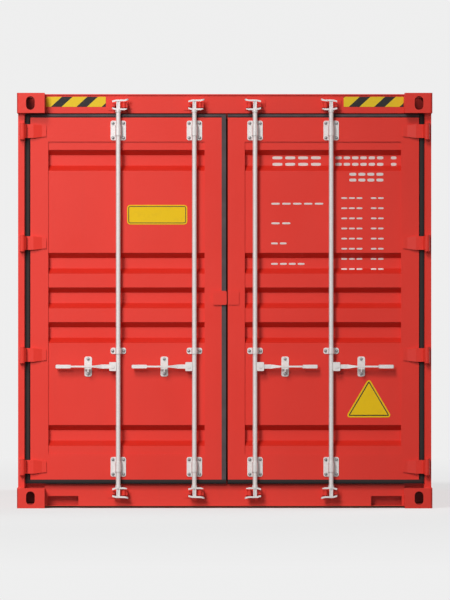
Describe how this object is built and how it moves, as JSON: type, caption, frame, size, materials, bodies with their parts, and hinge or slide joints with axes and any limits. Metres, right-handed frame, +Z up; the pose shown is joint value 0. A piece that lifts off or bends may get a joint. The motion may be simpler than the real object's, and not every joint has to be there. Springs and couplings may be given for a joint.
{
  "type": "shipping container",
  "caption": "Steel freight container with corrugated walls, two hinged end doors with locking bars and lever handles, corner castings and fork pockets.",
  "frame": {"origin": "on the ground under the middle of the container", "axes": "+Z up, the doors face -Y, +X to the right when looking at the doors"},
  "size_m": [2.438, 6.058, 2.438],
  "materials": {
    "red_paint": "semi-gloss red enamel with light wear",
    "galvanised_steel": "hot-dip galvanised, dull silver",
    "seal_rubber": "matt black extruded seal",
    "plywood": "varnished plywood"
  },
  "bodies": {
    "container": {"bottom_corner_castings": "red_paint", "top_corner_castings": "red_paint", "rear_posts": "red_paint", "front_posts": "red_paint", "door_header": "red_paint", "door_sill": "red_paint", "front_header": "red_paint", "front_sill": "red_paint", "top_side_rails": "red_paint", "bottom_side_rails": "red_paint", "cross_members": "red_paint", "fork_pockets": "red_paint", "floor_boards": "plywood", "floor_centre_rail": "red_paint", "side_walls": "red_paint", "front_wall": "red_paint", "roof_panel": "red_paint", "roof_corner_plates": "red_paint", "cam_keepers": "red_paint", "hinge_lugs": "red_paint"},
    "left_door": {"left_door_stiles": "red_paint", "left_door_rails": "red_paint", "left_door_panel": "red_paint", "left_door_gasket": "seal_rubber", "left_hinge_blades": "red_paint", "left_bar_brackets": "galvanised_steel", "left_handle_retainers": "galvanised_steel", "left_overlap_plate": "red_paint"},
    "right_door": {"right_door_stiles": "red_paint", "right_door_rails": "red_paint", "right_door_panel": "red_paint", "right_door_gasket": "seal_rubber", "right_hinge_blades": "red_paint", "right_bar_brackets": "galvanised_steel", "right_handle_retainers": "galvanised_steel", "right_overlap_pad": "red_paint"},
    "left_outer_bar": {"left_outer_bar": "galvanised_steel"},
    "left_inner_bar": {"left_inner_bar": "galvanised_steel"},
    "right_inner_bar": {"right_inner_bar": "galvanised_steel"},
    "right_outer_bar": {"right_outer_bar": "galvanised_steel"},
    "left_outer_handle": {"left_outer_handle": "galvanised_steel"},
    "left_inner_handle": {"left_inner_handle": "galvanised_steel"},
    "right_inner_handle": {"right_inner_handle": "galvanised_steel"},
    "right_outer_handle": {"right_outer_handle": "galvanised_steel"}
  },
  "joints": [
    {"name": "left_door_hinge", "type": "hinge", "parent": "container", "child": "left_door", "pos_m": [-1.188, -3.009, 1.2285], "axis": [0, 0, -1], "range_deg": [0, 260]},
    {"name": "right_door_hinge", "type": "hinge", "parent": "container", "child": "right_door", "pos_m": [1.188, -3.009, 1.2285], "axis": [0, 0, 1], "range_deg": [0, 260]},
    {"name": "left_outer_bar_turn", "type": "hinge", "parent": "left_door", "child": "left_outer_bar", "pos_m": [-0.625, -2.995, 1.23], "axis": [0, 0, -1], "range_deg": [-110, 0]},
    {"name": "left_inner_bar_turn", "type": "hinge", "parent": "left_door", "child": "left_inner_bar", "pos_m": [-0.178, -2.995, 1.23], "axis": [0, 0, -1], "range_deg": [-110, 0]},
    {"name": "right_inner_bar_turn", "type": "hinge", "parent": "right_door", "child": "right_inner_bar", "pos_m": [0.178, -2.995, 1.23], "axis": [0, 0, 1], "range_deg": [-110, 0]},
    {"name": "right_outer_bar_turn", "type": "hinge", "parent": "right_door", "child": "right_outer_bar", "pos_m": [0.625, -2.995, 1.23], "axis": [0, 0, 1], "range_deg": [-110, 0]},
    {"name": "left_outer_handle_lift", "type": "hinge", "parent": "left_outer_bar", "child": "left_outer_handle", "pos_m": [-0.657, -2.995, 0.832], "axis": [0, -1, 0], "range_deg": [-30, 0]},
    {"name": "left_inner_handle_lift", "type": "hinge", "parent": "left_inner_bar", "child": "left_inner_handle", "pos_m": [-0.21, -2.995, 0.832], "axis": [0, -1, 0], "range_deg": [-30, 0]},
    {"name": "right_inner_handle_lift", "type": "hinge", "parent": "right_inner_bar", "child": "right_inner_handle", "pos_m": [0.21, -2.995, 0.832], "axis": [0, 1, 0], "range_deg": [-30, 0]},
    {"name": "right_outer_handle_lift", "type": "hinge", "parent": "right_outer_bar", "child": "right_outer_handle", "pos_m": [0.657, -2.995, 0.832], "axis": [0, 1, 0], "range_deg": [-30, 0]}
  ]
}
